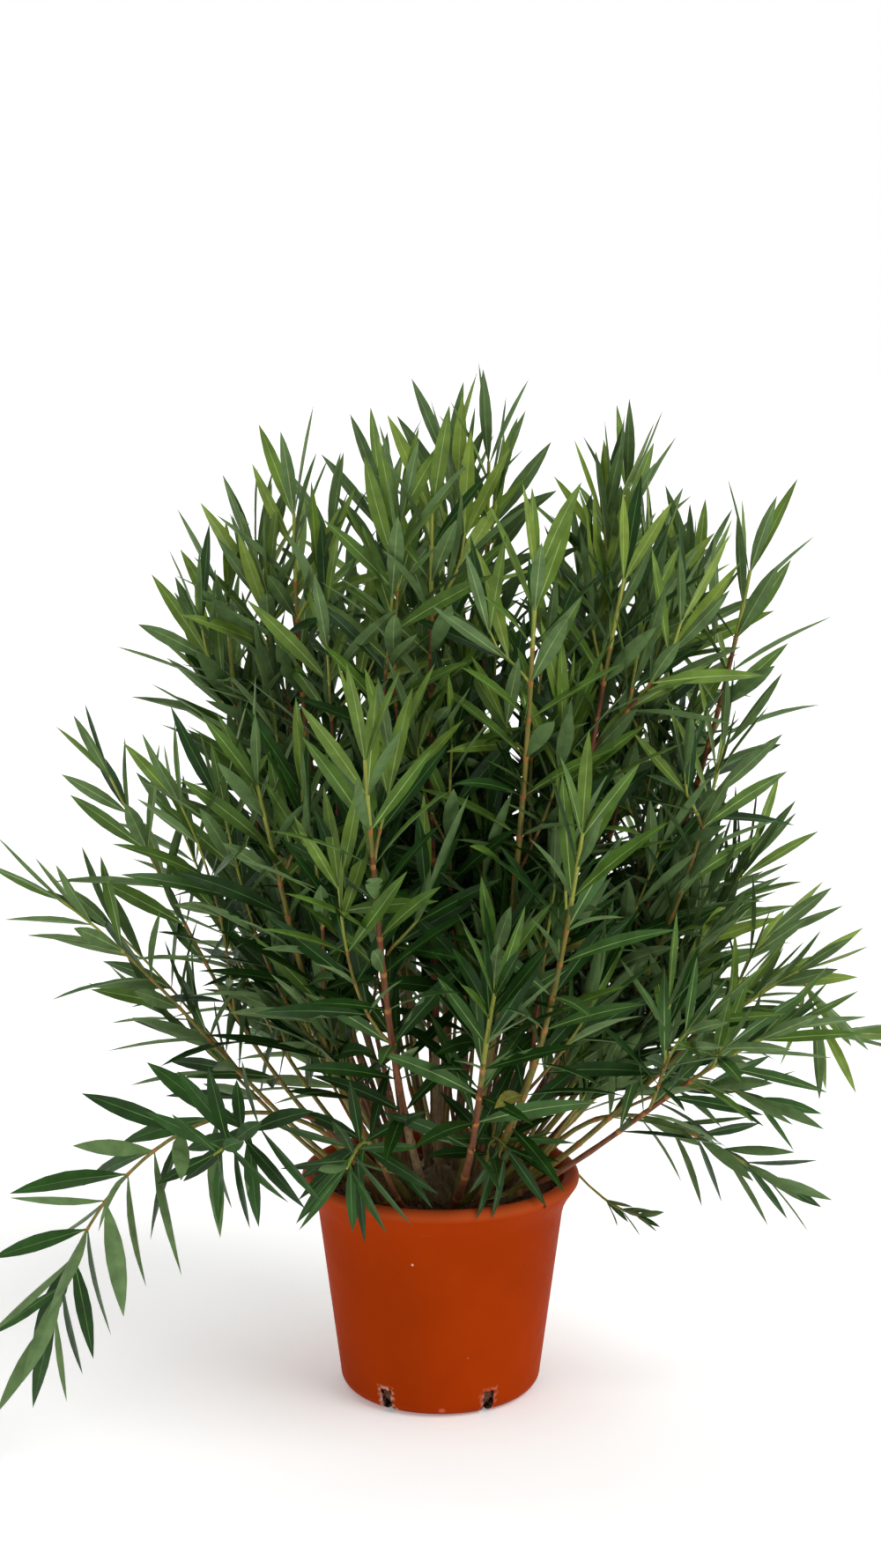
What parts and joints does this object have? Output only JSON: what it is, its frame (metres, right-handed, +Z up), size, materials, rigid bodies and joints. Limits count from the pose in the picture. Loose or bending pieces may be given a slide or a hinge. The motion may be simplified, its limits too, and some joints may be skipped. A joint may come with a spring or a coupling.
{
  "type": "potted oleander shrub",
  "caption": "Many-stemmed evergreen shrub with narrow lance-shaped leaves in whorls, in a round terracotta-coloured plastic pot with a rolled rim.",
  "frame": {"origin": "centre of the pot's flat underside, which the plant stands on", "axes": "+Z up along the pot's axis; -Y is the front, from which one long shoot hangs down on the left (-X) side"},
  "size_m": [1.2684, 1.0449, 1.4695],
  "materials": {
    "pot": "terracotta-coloured moulded plastic, slightly satin, scuffed and with a chalky stain at one drain slot",
    "compost": "dark, crumbly peat and bark compost",
    "bark": "grey-brown bark with pale flecks",
    "foliage": "leathery deep green leaves with a pale midrib, greyer underneath, on red-brown to green twigs"
  },
  "bodies": {
    "root": {"pot": "pot", "compost": "compost", "rootstock": "bark", "bough_centre_tall": "bark", "bough_centre_front": "bark", "bough_upper_left": "bark", "bough_upper_right": "bark", "bough_back_centre": "bark", "bough_left_shoulder": "bark", "bough_back_left": "bark", "bough_back_right": "bark", "bough_right_shoulder": "bark", "bough_right_mid": "bark", "bough_right_front": "bark", "bough_front_left": "bark", "bough_left_inner": "bark", "bough_front_right": "bark", "bough_right_outer": "bark", "bough_left_reach_upper": "bark", "bough_back_reach": "bark", "bough_back_low_left": "bark", "bough_back_low_right": "bark", "bough_right_outer_low": "bark", "bough_front_centre": "bark", "bough_left_reach_lower": "bark", "bough_right_sweep": "bark", "bough_right_low": "bark", "bough_right_droop": "bark", "bough_left_droop": "bark", "foliage_centre_tall": "foliage", "foliage_centre_front": "foliage", "foliage_upper_left": "foliage", "foliage_upper_right": "foliage", "foliage_back_centre": "foliage", "foliage_left_shoulder": "foliage", "foliage_back_left": "foliage", "foliage_back_right": "foliage", "foliage_right_shoulder": "foliage", "foliage_right_mid": "foliage", "foliage_right_front": "foliage", "foliage_front_left": "foliage", "foliage_left_inner": "foliage", "foliage_front_right": "foliage", "foliage_right_outer": "foliage", "foliage_left_reach_upper": "foliage", "foliage_back_reach": "foliage", "foliage_back_low_left": "foliage", "foliage_back_low_right": "foliage", "foliage_right_outer_low": "foliage", "foliage_front_centre": "foliage", "foliage_left_reach_lower": "foliage", "foliage_right_sweep": "foliage", "foliage_right_low": "foliage", "foliage_back_skirt": "foliage", "foliage_left_low": "foliage", "foliage_front_star": "foliage", "foliage_right_droop": "foliage", "foliage_left_droop": "foliage", "foliage_over_rim": "foliage", "foliage_over_soil": "foliage"}
  },
  "joints": []
}
